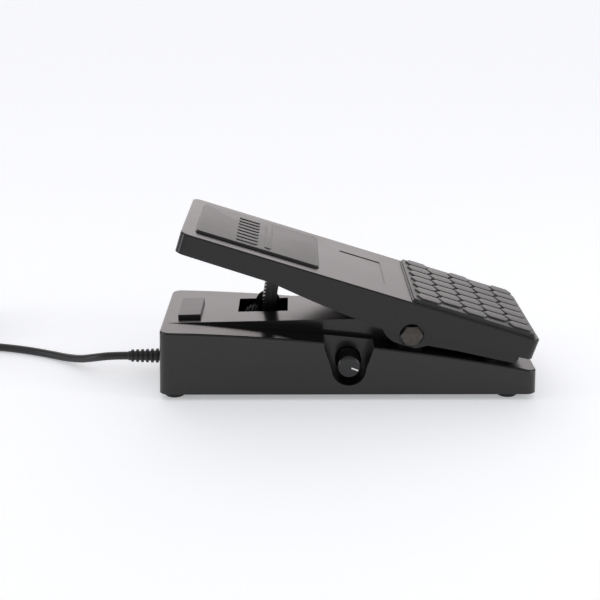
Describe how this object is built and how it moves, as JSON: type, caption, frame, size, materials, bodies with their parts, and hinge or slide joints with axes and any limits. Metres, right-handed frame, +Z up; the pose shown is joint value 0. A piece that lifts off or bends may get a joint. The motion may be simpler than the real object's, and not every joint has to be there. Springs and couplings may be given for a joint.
{
  "type": "foot pedal",
  "caption": "Volume and expression foot pedal: tilting treadle on a wedge housing, geared to a potentiometer, with a range knob and an attached cable with a jack plug.",
  "frame": {"origin": "on the floor, under the middle of the housing", "axes": "+X along the length towards the heel end, -X towards the toe end and the cable, -Y towards the knob side, +Z up"},
  "size_m": [0.4843, 0.1725, 0.1164],
  "materials": {
    "housing_abs": "satin moulded black ABS",
    "treadle_abs": "satin moulded black ABS with a fine grain",
    "pad_rubber": "matt moulded rubber",
    "foot_rubber": "matt moulded rubber",
    "plate_steel": "black powder-coated sheet steel",
    "zinc_screw": "zinc-plated steel",
    "bolt_steel": "blackened steel hexagon bolt",
    "brass": "turned brass",
    "nylon": "natural nylon",
    "arm_acetal": "black moulded acetal",
    "bracket_steel": "pressed sheet steel, black zinc",
    "pot_steel": "nickel-plated steel",
    "lug_tin": "tinned brass",
    "shaft_aluminium": "turned aluminium",
    "knob_plastic": "black moulded plastic",
    "pointer_white": "white paint inlay",
    "relief_pvc": "moulded soft PVC",
    "cable_pvc": "satin extruded PVC",
    "clamp_nylon": "natural nylon",
    "plug_moulding": "moulded PVC",
    "plug_nickel": "polished nickel",
    "plug_insulator": "black moulded insulator",
    "wire_insulation": "PVC wire insulation"
  },
  "bodies": {
    "base": {"base_housing": "housing_abs", "foot_toe_near": "foot_rubber", "foot_toe_far": "foot_rubber", "foot_heel_near": "foot_rubber", "foot_heel_far": "foot_rubber", "toe_stop": "foot_rubber", "heel_bumpers": "foot_rubber", "bottom_plate": "plate_steel", "bottom_screws": "zinc_screw", "bracket_screws": "zinc_screw", "clamp_screws": "zinc_screw", "pivot_bolt_near": "bolt_steel", "pivot_bolt_far": "bolt_steel", "tower_inserts": "brass", "pivot_washers": "nylon", "gear_bracket": "bracket_steel", "sweep_pot_can": "pot_steel", "range_pot_can": "pot_steel", "sweep_pot_nut": "pot_steel", "range_pot_nut": "pot_steel", "range_pot_washer": "pot_steel", "sweep_pot_lugs": "lug_tin", "range_pot_lugs": "lug_tin", "strain_relief": "relief_pvc", "cable_inner": "cable_pvc", "cable_lead": "cable_pvc", "cable_coil": "cable_pvc", "cable_tail": "cable_pvc", "cable_clamp": "clamp_nylon", "plug_boot": "plug_moulding", "plug_sleeve": "plug_nickel", "plug_ring": "plug_nickel", "plug_tip": "plug_nickel", "plug_band_rear": "plug_insulator", "plug_band_front": "plug_insulator", "signal_wires": "wire_insulation", "range_wires": "wire_insulation"},
    "treadle": {"treadle_shell": "treadle_abs", "toe_pad": "pad_rubber", "heel_pad": "pad_rubber", "pivot_bushes": "brass", "rack_arm": "arm_acetal", "arm_screws": "zinc_screw"},
    "pinion": {"drive_pinion": "arm_acetal", "sweep_pot_shaft": "shaft_aluminium"},
    "knob": {"range_knob": "knob_plastic", "knob_pointer": "pointer_white", "range_pot_shaft": "shaft_aluminium"}
  },
  "joints": [
    {"name": "treadle_pivot", "type": "hinge", "parent": "base", "child": "treadle", "pos_m": [0.0414, 0, 0.0463], "axis": [0, 1, 0], "range_deg": [-19.1, 0]},
    {"name": "pinion_spin", "type": "hinge", "parent": "base", "child": "pinion", "pos_m": [-0.06408, 0.00825, 0.0413], "axis": [0, 1, 0], "range_deg": [0, 296.05]},
    {"name": "range_turn", "type": "hinge", "parent": "base", "child": "knob", "pos_m": [0.0005, -0.041, 0.0235], "axis": [0, 1, 0], "range_deg": [-261, 39]}
  ],
  "couplings": [
    {"joint": "pinion_spin", "follows": "treadle_pivot", "ratio": -15.5}
  ]
}
